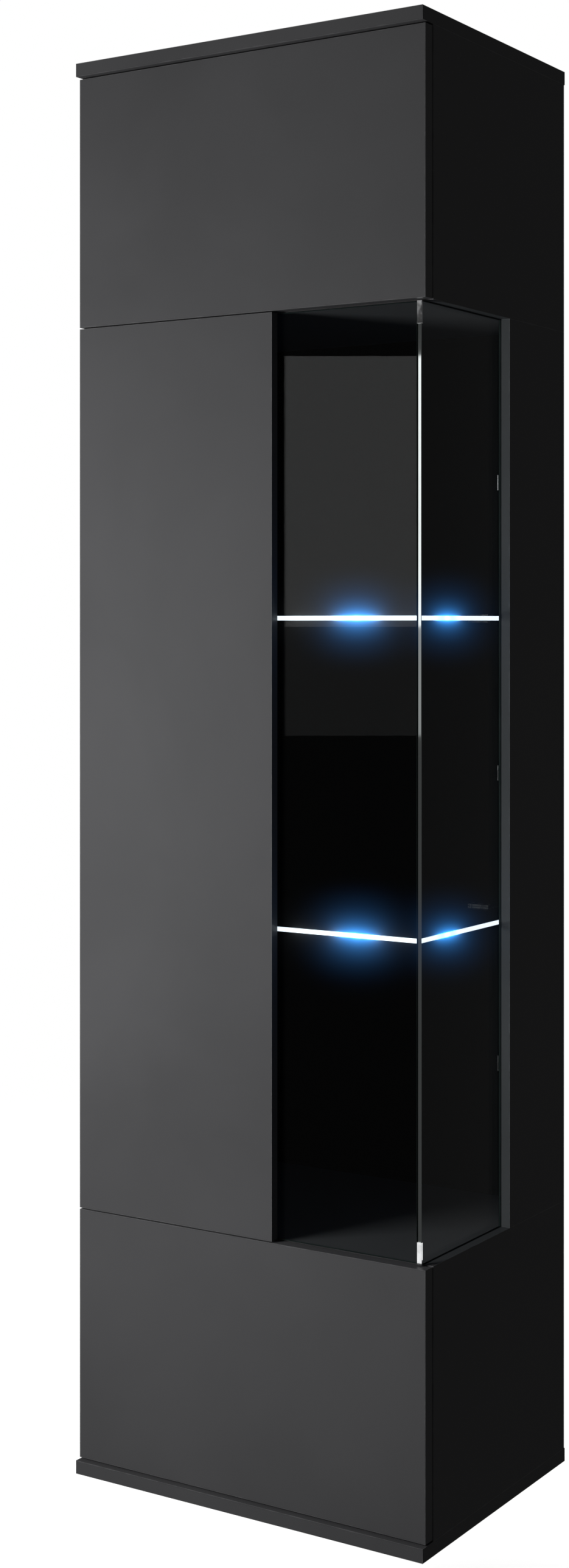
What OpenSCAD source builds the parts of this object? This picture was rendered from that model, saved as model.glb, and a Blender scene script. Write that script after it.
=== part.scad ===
// Hanging wall cabinet: closed box above, glazed corner display in the middle, closed box below.
// X runs left to right, +Y runs into the wall, +Z is up. The origin is the middle of the
// wall rail's screw line, on the wall.

/* [Carcass] */
// Width across the top and bottom plates
cabinet_w = 450; // [380:5:600]
// Height from the underside to the top
cabinet_h = 1600; // [1400:10:2000]
// Depth from the wall to the front edge of the plates
cabinet_d = 335; // [280:5:420]
// Thickness of the boards
board_t = 15; // [15:1:19]
// Height of the lower closed box, up to the floor of the display
lower_box_h = 300; // [240:10:400]
// Height of the upper closed box, down to the ceiling of the display
upper_box_h = 300; // [240:10:400]
// How far the plates stand proud of the doors
plate_overhang = 6.5; // [3:0.5:12]
// How far the sides stop short of the wall
side_inset = 2; // [0.5:0.5:4]
// Depth of the rear post that the side pane meets, from front to back
post_d = 137; // [110:1:170]

/* [Back board] */
// Thickness of the back board
back_t = 3; // [3:0.5:5]
// Depth of the hollow between the back board and the wall
back_hollow = 20; // [18:1:30]
// Depth of the groove that holds the back board
groove_d = 6; // [4:0.5:8]
// Clearance on each face of the back board in its groove
groove_gap = 0.1; // [0.05:0.05:0.3]

/* [Doors] */
// Thickness of the doors
door_t = 15; // [15:1:19]
// Gap between a closed door and the carcass behind it
door_gap = 1; // [0.9:0.1:2]
// Gap between one door and the next
seam_gap = 1.5; // [1:0.25:3]
// Gap between the doors and the plates
plate_gap = 2; // [1.5:0.25:4]
// How far the doors stop short of each side of the cabinet
door_inset = 0.5; // [0.5:0.25:1.5]

/* [Glass] */
// Width of the window in the front, from the solid panel to the side of the cabinet
window_w = 189; // [150:1:230]
// Thickness of the two panes
pane_t = 4; // [3:0.5:6]
// Width of the rebate that the door's pane is bonded into
rebate_w = 12; // [8:1:18]
// Clearance at the edges of the panes
pane_gap = 0.5; // [0.3:0.1:1.5]
// Thickness of the glass shelves
shelf_t = 5; // [4:1:8]
// Height of the underside of the lower shelf above the floor of the display
lower_shelf_up = 332; // [250:1:360]
// Distance of the underside of the upper shelf below the ceiling of the display
upper_shelf_down = 332; // [280:1:360]
// Gap between the shelves and the glass and boards around them
shelf_gap = 3.5; // [3:0.5:8]

/* [Glass clips] */
// Height of a side pane clip
clip_h = 17; // [12:1:24]
// Length of a side pane clip, from front to back
clip_l = 24; // [18:1:30]
// Thickness of a side pane clip
clip_t = 1.2; // [0.8:0.1:2]
// Distance of the outer two side pane clips from the floor and the ceiling of the display
clip_end = 180; // [120:5:220]
// Height of the caps on the glass corner
cap_h = 24; // [16:1:32]
// Thickness of the caps
cap_t = 0.8; // [0.6:0.1:1]
// How far a cap's legs reach back over the side pane's faces
cap_leg = 1.5; // [1:0.5:12]

/* [Door hinges] */
// Diameter of a hinge cup
cup_dia = 35; // [26:1:40]
// Depth of a hinge cup in the door
cup_depth = 11.3; // [10:0.1:12]
// Wall of a hinge cup
cup_wall = 1; // [0.8:0.1:1.5]
// Distance from the door's edge to the cup
cup_edge = 4.5; // [4:0.5:6]
// Distance of the hinge axis from the door's left edge
axis_in = 3.5; // [3:0.25:4]
// Distance of the hinge axis in front of the door's inner face
axis_front = 9; // [8:0.5:10]
// Distance of the hinges from the door's top and bottom on the two box doors
box_hinge_end = 60; // [45:5:80]
// Distance of the outer hinges from the top and bottom of the display door
display_hinge_end = 100; // [80:5:140]
// Width of the links
link_w = 4; // [3:0.5:5]
// Diameter of the link pins
link_pin_dia = 3; // [2.5:0.1:3.5]
// Radial running clearance of a link on its pin
pin_clear = 0.05; // [0.02:0.01:0.1]
// Depth of the mounting plates' screw row behind the side's front edge
hinge_row = 37; // [37:1:37]

/* [Push latches] */
// Width and height of a latch housing
latch_w = 12; // [11:1:16]
// Length of a latch housing
latch_l = 62; // [50:1:80]
// Diameter of a plunger
plunger_dia = 8; // [6:0.5:9]
// Length of a plunger
plunger_l = 30; // [24:1:36]
// Travel of a plunger past the closed door
plunger_travel = 4; // [2:0.5:6]
// Radial clearance of a plunger in its housing
plunger_clear = 0.1; // [0.05:0.05:0.1]
// Thickness of the strike plates on the doors
strike_t = 0.4; // [0.3:0.1:0.4]

/* [Wall fixing] */
// Distance of the rail's screw line below the top of the cabinet
rail_down = 70; // [60:5:120]
// Distance between neighbouring screws of the rail
rail_screw_pitch = 150; // [100:10:150]
// Diameter of the rail's screw holes
rail_hole_dia = 6.5; // [5:0.5:8]
// Thickness of the rail's steel
rail_t = 2; // [1.5:0.5:3]

/* [Board joints] */
// Distance from a board's end to the middle of its cams
cam_back = 34; // [24:1:34]
// Diameter of a cam
cam_dia = 15; // [12:1:15]
// Height of a cam
cam_h = 11.8; // [10:0.1:12]
// Diameter of a dowel
dowel_dia = 8; // [6:1:8]
// Length of a dowel in the board that carries it
dowel_long = 18; // [15:1:20]
// Length of a dowel in the board that it meets
dowel_short = 11; // [9:1:11]
// Clearance around dowels, cams and screws in their holes
seat_gap = 0.05; // [0.02:0.01:0.1]
// Distance of the front joint row from the front edge of the carcass
front_row = 37; // [32:1:60]
// Distance of the rear joint row from the wall
rear_row = 60; // [50:1:80]

/* [Shelf lights] */
// Length of a light clip along the edge of the shelf
light_l = 26; // [20:1:40]
// How far a light clip reaches over the shelf
light_d = 12; // [8:1:16]
// Thickness of a light clip above, below and behind the glass
light_wall = 2.2; // [1.8:0.1:2.6]
// Distance of the rear light clips from the right side of the cabinet
rear_light_in = 93; // [60:1:140]
// Distance of the left light clips from the front of the doors
side_light_back = 77; // [50:1:120]

/* [Hidden] */
$fn = 48;

// Planes of the carcass, with heights measured from the underside
left_x = -cabinet_w / 2;
right_x = cabinet_w / 2;
left_in = left_x + board_t;
right_in = right_x - board_t;
door_front = -(cabinet_d - plate_overhang);
door_back = door_front + door_t;
carcass_front = door_back + door_gap;
sides_back = -side_inset;
back_front = -(back_hollow + back_t);
top_under = cabinet_h - board_t;
display_floor = lower_box_h;
display_ceiling = cabinet_h - upper_box_h;
post_front = sides_back - post_d;
door_left = left_x + door_inset;
door_right = right_x - door_inset;
panel_right = right_x - window_w;
pane_front = door_back - pane_t;
rail_up = cabinet_h - rail_down;
cut = 1;

// Heights of the doors: [bottom, top]
upper_door_z = [display_ceiling + seam_gap / 2, top_under - plate_gap];
display_door_z = [display_floor + seam_gap / 2, display_ceiling - seam_gap / 2];
lower_door_z = [board_t + plate_gap, display_floor - seam_gap / 2];

// Heights of the hinges of each door
upper_hinges = [upper_door_z[0] + box_hinge_end, upper_door_z[1] - box_hinge_end];
display_hinges = [
    display_door_z[0] + display_hinge_end,
    (display_door_z[0] + display_door_z[1]) / 2,
    display_door_z[1] - display_hinge_end
];
lower_hinges = [lower_door_z[0] + box_hinge_end, lower_door_z[1] - box_hinge_end];
all_hinges = concat(upper_hinges, display_hinges, lower_hinges);

// The whole cabinet is drawn from its underside and hung by the rail's screw line
module hung() translate([0, 0, -rail_up]) children();

// A block between two corners
module block(low, high) translate(low) cube(high - low);

// ---------------------------------------------------------------- board joints
// A joint is [place, turn]. In its own frame +Z points into the board that is met,
// the joint plane is Z = 0 and +X is the face that the cam is let into.
up_left = [0, 0, 0];
up_right = [0, 0, 180];
down_left = [180, 0, 0];
down_right = [180, 0, 180];
left_face_up = [0, -90, 0];
right_face_up = [180, -90, 0];
left_face_down = [180, 90, 0];
right_face_down = [0, 90, 0];

cam_rows = [carcass_front + front_row, -rear_row];
dowel_rows = [carcass_front + 2 * front_row, -2 * rear_row];
left_mid = left_x + board_t / 2;
right_mid = right_x - board_t / 2;
floor_mid = display_ceiling + board_t / 2;
top_mid = display_floor - board_t / 2;
post_cam_y = (post_front + sides_back) / 2;
post_dowel_front = 28;
post_dowel_rear = 40;
post_dowel_rows = [post_front + post_dowel_front, sides_back - post_dowel_rear];

function joint_row(x, rows, z, turn) = [for (y = rows) [[x, y, z], turn]];

top_left_cams = joint_row(left_mid, cam_rows, top_under, up_left);
top_right_cams = joint_row(right_mid, cam_rows, top_under, up_right);
bottom_left_cams = joint_row(left_mid, cam_rows, board_t, down_left);
bottom_right_cams = joint_row(right_mid, cam_rows, board_t, down_right);
floor_left_cams = joint_row(left_in, cam_rows, floor_mid, left_face_up);
floor_right_cams = joint_row(right_in, cam_rows, floor_mid, right_face_up);
low_top_left_cams = joint_row(left_in, cam_rows, top_mid, left_face_down);
low_top_right_cams = joint_row(right_in, cam_rows, top_mid, right_face_down);
post_top_cams = joint_row(right_mid, [post_cam_y], display_ceiling, down_right);
post_foot_cams = joint_row(right_mid, [post_cam_y], display_floor, up_right);

top_left_dowels = joint_row(left_mid, dowel_rows, top_under, up_left);
top_right_dowels = joint_row(right_mid, dowel_rows, top_under, up_right);
bottom_left_dowels = joint_row(left_mid, dowel_rows, board_t, down_left);
bottom_right_dowels = joint_row(right_mid, dowel_rows, board_t, down_right);
floor_left_dowels = joint_row(left_in, dowel_rows, floor_mid, left_face_up);
floor_right_dowels = joint_row(right_in, dowel_rows, floor_mid, right_face_up);
low_top_left_dowels = joint_row(left_in, dowel_rows, top_mid, left_face_down);
low_top_right_dowels = joint_row(right_in, dowel_rows, top_mid, right_face_down);
post_top_dowels = joint_row(right_mid, post_dowel_rows, display_ceiling, up_right);
post_foot_dowels = joint_row(right_mid, post_dowel_rows, display_floor, down_right);

all_cams = concat(
    top_left_cams, top_right_cams, bottom_left_cams, bottom_right_cams,
    floor_left_cams, floor_right_cams, low_top_left_cams, low_top_right_cams,
    post_top_cams, post_foot_cams
);
all_dowels = concat(
    top_left_dowels, top_right_dowels, bottom_left_dowels, bottom_right_dowels,
    floor_left_dowels, floor_right_dowels, low_top_left_dowels, low_top_right_dowels,
    post_top_dowels, post_foot_dowels
);

bolt_r = 3;
bolt_head_r = 3.4;
bolt_bore_r = 4;
spigot_l = 11;
head_l = 4;

module at_joints(joints) for (j = joints) translate(j[0]) rotate(j[1]) children();

// The cam lies across the bolt, let in from the +X face
module cam_barrel(r, h)
    translate([board_t / 2 - h, 0, -cam_back]) rotate([0, 90, 0]) cylinder(r = r, h = h);

module cam_cuts(joints) at_joints(joints) {
    translate([0, 0, -cam_back]) cylinder(r = bolt_bore_r, h = cam_back);
    translate([0, 0, -cut]) cylinder(r = bolt_r + seat_gap, h = spigot_l + seat_gap + cut);
    translate([cut, 0, 0]) cam_barrel(cam_dia / 2 + seat_gap, cam_h + seat_gap + cut);
}

module dowel_cuts(joints) at_joints(joints)
    translate([0, 0, -dowel_long - seat_gap])
        cylinder(d = dowel_dia + 2 * seat_gap, h = dowel_long + dowel_short + 2 * seat_gap);

module cams() color("silver") hung() at_joints(all_cams) difference() {
    cam_barrel(cam_dia / 2, cam_h);
    translate([0, 0, -cam_back]) cylinder(r = bolt_head_r + 0.3, h = cam_back);
    translate([board_t / 2 - 1.5, -0.75, -cam_back - 4]) cube([2, 1.5, 8]);
}

module cam_bolts() color("gainsboro") hung() at_joints(all_cams) {
    translate([0, 0, head_l - cam_back]) cylinder(r = bolt_r, h = cam_back - head_l + spigot_l);
    translate([0, 0, 0.2 - cam_back]) cylinder(r = bolt_head_r, h = head_l);
}

module dowels() color("burlywood") hung() at_joints(all_dowels)
    translate([0, 0, -dowel_long]) cylinder(d = dowel_dia, h = dowel_long + dowel_short);

// ---------------------------------------------------------------- carcass
module back_groove() block(
    [left_in - groove_d - groove_gap, back_front - groove_gap, board_t - groove_d - groove_gap],
    [right_in + groove_d + groove_gap, -back_hollow + groove_gap, top_under + groove_d + groove_gap]
);

module board(low, high, cams = [], dowels = []) difference() {
    block(low, high);
    cam_cuts(cams);
    dowel_cuts(dowels);
}

module top_plate() color("dimgray") hung() difference() {
    board([left_x, -cabinet_d, top_under], [right_x, 0, cabinet_h],
        concat(top_left_cams, top_right_cams), concat(top_left_dowels, top_right_dowels));
    back_groove();
}

module bottom_plate() color("dimgray") hung() difference() {
    board([left_x, -cabinet_d, 0], [right_x, 0, board_t],
        concat(bottom_left_cams, bottom_right_cams),
        concat(bottom_left_dowels, bottom_right_dowels));
    back_groove();
}

module left_side_board() color("dimgray") hung() difference() {
    board([left_x, carcass_front, board_t], [left_in, sides_back, top_under],
        concat(top_left_cams, bottom_left_cams, floor_left_cams, low_top_left_cams),
        concat(top_left_dowels, bottom_left_dowels, floor_left_dowels, low_top_left_dowels));
    back_groove();
    at_hinges(all_hinges) hinge_screw_pair(hinge_screw_r + seat_gap, 0);
    shelf_pin_holes();
}

module upper_right_side_board() color("dimgray") hung() difference() {
    board([right_in, carcass_front, display_ceiling], [right_x, sides_back, top_under],
        concat(top_right_cams, floor_right_cams, post_top_cams),
        concat(top_right_dowels, floor_right_dowels, post_top_dowels));
    back_groove();
}

module lower_right_side_board() color("dimgray") hung() difference() {
    board([right_in, carcass_front, board_t], [right_x, sides_back, display_floor],
        concat(bottom_right_cams, low_top_right_cams, post_foot_cams),
        concat(bottom_right_dowels, low_top_right_dowels, post_foot_dowels));
    back_groove();
}

module rear_post() color("dimgray") hung() difference() {
    board([right_in, post_front, display_floor], [right_x, sides_back, display_ceiling],
        concat(post_top_cams, post_foot_cams), concat(post_top_dowels, post_foot_dowels));
    back_groove();
    shelf_pin_holes();
    at_side_clips() clip_screw(clip_screw_r + seat_gap, 0);
}

module upper_box_floor() color("dimgray") hung()
    board([left_in, carcass_front, display_ceiling], [right_in, back_front, display_ceiling + board_t],
        concat(floor_left_cams, floor_right_cams), concat(floor_left_dowels, floor_right_dowels));

module lower_box_top() color("dimgray") hung()
    board([left_in, carcass_front, display_floor - board_t], [right_in, back_front, display_floor],
        concat(low_top_left_cams, low_top_right_cams),
        concat(low_top_left_dowels, low_top_right_dowels));

module back_board() color("#1c1c1e") hung() difference() {
    block([left_in - groove_d, back_front, board_t - groove_d],
        [right_in + groove_d, -back_hollow, top_under + groove_d]);
    for (s = [-1, 1]) hook_slot(s);
}

// ---------------------------------------------------------------- wall fixing
rail_below = 20;
rail_step_up = 8;
rail_lip_up = 22;
rail_offset = 7;
rail_l = right_in - left_in - 4;
hook_w = 10;
hook_t = 2;
hook_in = 4;
hanger_w = 18;
hanger_l = 47;
hanger_h = 50;
hanger_down = 5;

module wall_rail() color("lightsteelblue") difference() {
    rotate([90, 0, 90]) translate([0, 0, -rail_l / 2]) linear_extrude(rail_l) polygon([
        [0, -rail_below], [0, rail_step_up + rail_t], [rail_t - rail_offset, rail_step_up + rail_t],
        [rail_t - rail_offset, rail_lip_up], [-rail_offset, rail_lip_up],
        [-rail_offset, rail_step_up], [-rail_t, rail_step_up], [-rail_t, -rail_below]
    ]);
    for (i = [-1:1]) translate([i * rail_screw_pitch, cut, 0]) rotate([90, 0, 0])
        cylinder(d = rail_hole_dia, h = rail_t + 2 * cut);
}

// Hangers stand in the two rear corners of the upper box, s is -1 for the left one
module hook_slot(s) block(
    [s * (right_in - hook_in - hook_w / 2) - hook_w / 2 - 1, back_front - cut,
        rail_up + rail_lip_up - 3],
    [s * (right_in - hook_in - hook_w / 2) + hook_w / 2 + 1, cut - back_hollow,
        rail_up + rail_lip_up + hook_t + 6]
);

module hanger_housings() color("whitesmoke") hung() for (s = [-1, 1])
    translate([s * (right_in - hanger_w / 2), back_front, rail_up - hanger_down]) difference() {
        rotate([90, 0, 90]) translate([0, 0, -hanger_w / 2]) linear_extrude(hanger_w) polygon([
            [0, 0], [0, hanger_h], [-hanger_l + 8, hanger_h], [-hanger_l, hanger_h - 8],
            [-hanger_l, 8], [-hanger_l + 8, 0]
        ]);
        hanger_screw_pair(hanger_screw_r + seat_gap, cut);
    }

hanger_screw_r = 3.5;
module hanger_screw_pair(r, proud) for (z = [16, 34]) translate([0, -hanger_l - proud, z])
    rotate([-90, 0, 0]) cylinder(r = r, h = 20 + proud);

module hanger_screws() color("silver") hung() for (s = [-1, 1])
    translate([s * (right_in - hanger_w / 2), back_front, rail_up - hanger_down]) difference() {
        hanger_screw_pair(hanger_screw_r, 0);
        for (z = [16, 34], turn = [0, 90]) translate([0, -hanger_l, z]) rotate([0, turn, 0])
            cube([4.5, 3, 1], center = true);
    }

module hanger_hooks() color("silver") hung() for (s = [-1, 1])
    translate([s * (right_in - hook_in - hook_w / 2) - hook_w / 2, 0, rail_up + rail_lip_up])
        rotate([90, 0, 90]) linear_extrude(hook_w) polygon([
            [back_front, 0], [back_front, hook_t + 2], [-hook_t - 0.4, hook_t + 2],
            [-hook_t - 0.4, -10], [-2 * hook_t - 0.4, -10], [-2 * hook_t - 0.4, 0]
        ]);

// ---------------------------------------------------------------- doors
module upper_door() color("#46464a") hung() difference() {
    block([door_left, door_front, upper_door_z[0]], [door_right, door_back, upper_door_z[1]]);
    at_hinges(upper_hinges) cup_seat();
}

module lower_door() color("#46464a") hung() difference() {
    block([door_left, door_front, lower_door_z[0]], [door_right, door_back, lower_door_z[1]]);
    at_hinges(lower_hinges) cup_seat();
}

// The solid part of the display door, with a rebate behind its right edge for the pane
module display_door_panel() color("#46464a") hung() difference() {
    block([door_left, door_front, display_door_z[0]], [panel_right, door_back, display_door_z[1]]);
    block([panel_right - rebate_w, pane_front, display_door_z[0] - cut],
        [panel_right + cut, door_back + cut, display_door_z[1] + cut]);
    at_hinges(display_hinges) cup_seat();
    at_retainers() retainer_screw(retainer_screw_r + seat_gap, 0);
}

// The door's pane stops beside the inner leg of the corner caps
door_pane_right = right_in - cap_t - 0.8;
module display_door_pane() color([0.6, 0.7, 0.75, 0.35]) hung()
    block([panel_right - rebate_w + 0.2, pane_front, display_door_z[0] + pane_gap],
        [door_pane_right, door_back, display_door_z[1] - pane_gap]);

retainer_r = 6;
retainer_t = 2;
retainer_screw_r = 1.5;
retainer_x = panel_right - rebate_w - 3;
module at_retainers() for (z = display_hinges) translate([retainer_x, door_back, z])
    rotate([-90, 0, 0]) children();

module retainer_screw(r, head_r) {
    translate([0, 0, -9]) cylinder(r = r, h = 9 + retainer_t);
    if (head_r > 0) translate([0, 0, retainer_t]) cylinder(r = head_r, h = 0.8);
}

module pane_retainers() color("whitesmoke") hung() at_retainers() difference() {
    cylinder(r = retainer_r, h = retainer_t);
    translate([0, 0, -cut]) cylinder(r = retainer_screw_r + seat_gap, h = retainer_t + 2 * cut);
}

module pane_retainer_screws() color("silver") hung() at_retainers()
    retainer_screw(retainer_screw_r, 2.8);

// ---------------------------------------------------------------- side pane and its clips
side_pane_front = pane_front - 0.5;
side_pane_back = post_front - pane_gap;
side_pane_top = display_ceiling - pane_gap;
module side_pane() color([0.6, 0.7, 0.75, 0.35]) hung()
    block([right_in, side_pane_front, display_floor],
        [right_in + pane_t, side_pane_back, side_pane_top]);

clip_lap = 1.5;
clip_screw_r = 1.5;
clip_zs = [
    display_floor + clip_end, (display_floor + display_ceiling) / 2, display_ceiling - clip_end
];
module at_side_clips() for (z = clip_zs) translate([right_in, post_front, z])
    rotate([0, -90, 0]) children();

// In a clip's frame +Z points away from the post and +X is up
module clip_screw(r, head_r) translate([0, clip_l / 2, 0]) {
    translate([0, 0, -10]) cylinder(r = r, h = 10 + clip_t);
    if (head_r > 0) translate([0, 0, clip_t]) cylinder(r = head_r, h = 1);
}

module side_pane_clips() color("gainsboro") hung() at_side_clips() difference() {
    translate([-clip_h / 2, -pane_gap - clip_lap, 0])
        cube([clip_h, clip_l, clip_t]);
    translate([0, clip_l / 2, -cut]) cylinder(r = clip_screw_r + seat_gap, h = clip_t + 2 * cut);
}

module side_pane_clip_screws() color("silver") hung() at_side_clips() clip_screw(clip_screw_r, 3);

// Caps fold round the front edge of the side pane at its foot and head
module corner_cap(z) difference() {
    block([right_in - cap_t, side_pane_front - cap_t, z],
        [right_in + pane_t + cap_t, side_pane_front + cap_leg, z + cap_h]);
    block([right_in, side_pane_front, z - cut],
        [right_in + pane_t, side_pane_front + cap_leg + cut, z + cap_h + cut]);
}

module corner_caps() color("gainsboro") hung() {
    corner_cap(display_floor);
    corner_cap(side_pane_top - cap_h);
}

// ---------------------------------------------------------------- shelves
shelf_left = left_in + shelf_gap;
shelf_right = right_in - shelf_gap;
shelf_front = door_back + shelf_gap;
shelf_back = back_front - shelf_gap - 3;
shelf_zs = [display_floor + lower_shelf_up, display_ceiling - upper_shelf_down];

module glass_shelf(z) color([0.75, 0.88, 0.95, 0.5]) hung()
    block([shelf_left, shelf_front, z], [shelf_right, shelf_back, z + shelf_t]);
module lower_glass_shelf() glass_shelf(shelf_zs[0]);
module upper_glass_shelf() glass_shelf(shelf_zs[1]);

pin_r = 2.5;
pin_in = 8;
pin_out = 9;
left_pin_front = 90;
left_pin_rear = 50;
post_pin_front = 20;
post_pin_rear = 30;
left_pin_rows = [carcass_front + left_pin_front, back_front - left_pin_rear];
post_pin_rows = [post_front + post_pin_front, back_front - post_pin_rear];
module shelf_pins_with(r) for (z = shelf_zs) {
    for (y = left_pin_rows) translate([left_in - pin_in, y, z - pin_r]) rotate([0, 90, 0])
        cylinder(r = r, h = pin_in + pin_out);
    for (y = post_pin_rows) translate([right_in - pin_out, y, z - pin_r]) rotate([0, 90, 0])
        cylinder(r = r, h = pin_in + pin_out);
}
module shelf_pin_holes() shelf_pins_with(pin_r + seat_gap);
module shelf_pins() color("gainsboro") hung() shelf_pins_with(pin_r);

// A light clip grips the edge of a shelf. In its frame +Y points onto the glass from the edge.
module at_lights() for (z = shelf_zs) {
    translate([right_x - rear_light_in, shelf_back, z]) rotate([0, 0, 180]) children();
    translate([shelf_left, door_front + side_light_back, z]) rotate([0, 0, -90]) children();
}

lens_t = 0.8;
light_gap = 0.1;
module light_clips() color("gainsboro") hung() at_lights() difference() {
    block([-light_l / 2, -light_wall - lens_t / 2, -light_wall],
        [light_l / 2, light_d, shelf_t + light_wall]);
    block([-light_l / 2 - cut, 0, -light_gap], [light_l / 2 + cut, light_d + cut, shelf_t + light_gap]);
    block([-light_l / 2 + 3, -lens_t, 0.6], [light_l / 2 - 3, cut, shelf_t - 0.6]);
}

module light_lenses() color("deepskyblue") hung() at_lights()
    block([-light_l / 2 + 3, -lens_t, 0.6], [light_l / 2 - 3, -light_gap, shelf_t - 0.6]);

// The lights' power supply stands on the back board, inside the upper box
driver_size = [92, 22, 40];
driver_in = 60;
driver_up = 12;
module light_driver() color("#2a2a2c") hung()
    translate([right_in - driver_in - driver_size[0], back_front - driver_size[1],
        display_ceiling + board_t + driver_up]) difference() {
        cube(driver_size);
        translate([driver_size[0] - 12, 5, 12]) cube([12 + cut, 12, 16]);
        for (i = [0:5]) translate([14 + i * 9, -cut, 6]) cube([3, 2 + cut, 28]);
    }

// ---------------------------------------------------------------- hinges
// A hinge's frame has its origin at the inner left corner of the closed door, at mid height.
side_in = left_in - door_left;
side_edge = door_gap;
cup_x = cup_edge + cup_dia / 2;
pivot_in = 20.5;
cup_pivot_back = 6.5;
arm_pivot_back = 16;
cup_pivot = [axis_in + pivot_in, cup_pivot_back - axis_front];
arm_pivot = [axis_in + pivot_in, arm_pivot_back - axis_front];
link_h = 4.2;
link_lift = 0.6;
inner_link_l = 13.5;
outer_link_l = 26;
arm_half_h = 6.4;
arm_wall = 1.2;
arm_back = side_edge + hinge_row + 24;
arm_web = 31;
arm_nose = 3.5;
arm_shoulder = 13;
plate_t = 3;
wing_t = 0.8;
wing_lug_r = 4;
wing_lug_z = 22.5;
wing_lug_x = cup_x + 9.5;

module at_hinges(zs) for (z = zs) translate([door_left, door_back, z]) children();

// The bored seat in the door: the cup's hole and two holes for its pressed lugs
module cup_seat() {
    translate([cup_x, -cup_depth - seat_gap, 0]) rotate([-90, 0, 0])
        cylinder(d = cup_dia + 2 * seat_gap, h = cup_depth + seat_gap + cut);
    for (s = [-1, 1]) translate([wing_lug_x, -10 - seat_gap, s * wing_lug_z]) rotate([-90, 0, 0])
        cylinder(r = wing_lug_r + seat_gap, h = 10 + seat_gap + cut);
}

module hinge_cup() difference() {
    union() {
        translate([cup_x, -cup_depth, 0]) rotate([-90, 0, 0]) cylinder(d = cup_dia, h = cup_depth);
        translate([cup_x, 0, 0]) rotate([-90, 0, 0]) cylinder(d = cup_dia + 2, h = wing_t);
        translate([wing_lug_x - 7, 0, -29]) cube([14, wing_t, 58]);
        for (s = [-1, 1]) translate([wing_lug_x, -10, s * wing_lug_z]) rotate([-90, 0, 0])
            cylinder(r = wing_lug_r, h = 10);
    }
    difference() {
        translate([cup_x, cup_wall - cup_depth, 0]) rotate([-90, 0, 0])
            cylinder(d = cup_dia - 2 * cup_wall, h = cup_depth + cut);
        translate([cup_pivot[0], cup_pivot[1], link_lift - 0.2])
            cylinder(d = link_pin_dia, h = cup_dia / 2);
    }
}

module link(l) difference() {
    union() {
        cylinder(d = link_w + 1, h = link_h);
        translate([-link_w / 2, 0, 0]) cube([link_w, l, link_h]);
        translate([0, l, 0]) cylinder(d = link_w, h = link_h);
    }
    translate([0, 0, -cut]) cylinder(r = link_pin_dia / 2 + pin_clear, h = link_h + 2 * cut);
}

module inner_links(zs) color("silver") hung() at_hinges(zs)
    translate([arm_pivot[0], arm_pivot[1], -link_lift - link_h]) rotate([0, 0, 180]) link(inner_link_l);
module outer_links(zs) color("silver") hung() at_hinges(zs)
    translate([cup_pivot[0], cup_pivot[1], link_lift]) link(outer_link_l);

module upper_inner_links() inner_links(upper_hinges);
module display_inner_links() inner_links(display_hinges);
module lower_inner_links() inner_links(lower_hinges);
module upper_outer_links() outer_links(upper_hinges);
module display_outer_links() outer_links(display_hinges);
module lower_outer_links() outer_links(lower_hinges);

module upper_hinge_cups() color("silver") hung() at_hinges(upper_hinges) hinge_cup();
module display_hinge_cups() color("silver") hung() at_hinges(display_hinges) hinge_cup();
module lower_hinge_cups() color("silver") hung() at_hinges(lower_hinges) hinge_cup();

// The arm is a channel that opens towards the side board and carries the inner link's pin
module hinge_arm() {
    for (z = [-arm_half_h, arm_half_h - arm_wall]) translate([0, 0, z])
        linear_extrude(arm_wall) polygon([
            arm_pivot - [arm_nose, arm_nose], arm_pivot + [arm_nose, -arm_nose],
            [arm_web + arm_wall, arm_shoulder], [arm_web + arm_wall, arm_back],
            [side_in + plate_t, arm_back], [side_in + plate_t, arm_shoulder + 11],
            [arm_pivot[0] - arm_nose, arm_shoulder + 3]
        ]);
    translate([arm_web, arm_shoulder, -arm_half_h])
        cube([arm_wall, arm_back - arm_shoulder, 2 * arm_half_h]);
    translate([arm_pivot[0], arm_pivot[1], -arm_half_h])
        cylinder(d = link_pin_dia, h = arm_half_h - link_lift + 0.2);
}

module hinge_arms() color("silver") hung() at_hinges(all_hinges) hinge_arm();

hinge_screw_r = 2.2;
hinge_screw_z = 16;
module hinge_screw_pair(r, head_r) for (s = [-1, 1])
    translate([side_in, side_edge + hinge_row, s * hinge_screw_z]) rotate([0, 90, 0]) {
        translate([0, 0, -12]) cylinder(r = r, h = 12 + plate_t);
        if (head_r > 0) translate([0, 0, plate_t]) cylinder(r = head_r, h = 1.6);
    }

module hinge_plates() color("silver") hung() at_hinges(all_hinges) difference() {
    union() {
        translate([side_in, side_edge + hinge_row - 15, -arm_half_h]) cube([plate_t, 39, 2 * arm_half_h]);
        translate([side_in, side_edge + hinge_row - 6, -22]) cube([plate_t, 12, 44]);
    }
    for (s = [-1, 1]) translate([side_in - cut, side_edge + hinge_row, s * hinge_screw_z])
        rotate([0, 90, 0]) cylinder(r = hinge_screw_r + seat_gap, h = plate_t + 2 * cut);
}

module hinge_screws() color("gainsboro") hung() at_hinges(all_hinges)
    hinge_screw_pair(hinge_screw_r, 4);

// ---------------------------------------------------------------- push latches
// Each latch is placed by the middle of its front face
box_latch_x = right_in - latch_w / 2;
upper_latch = [box_latch_x, carcass_front, (upper_door_z[0] + upper_door_z[1]) / 2];
lower_latch = [box_latch_x, carcass_front, (lower_door_z[0] + lower_door_z[1]) / 2];
display_latch = [panel_right - 50, carcass_front, display_ceiling - latch_w / 2];
plunger_gap = 0.2;
plunger_tip = door_back + strike_t + plunger_gap;

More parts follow.
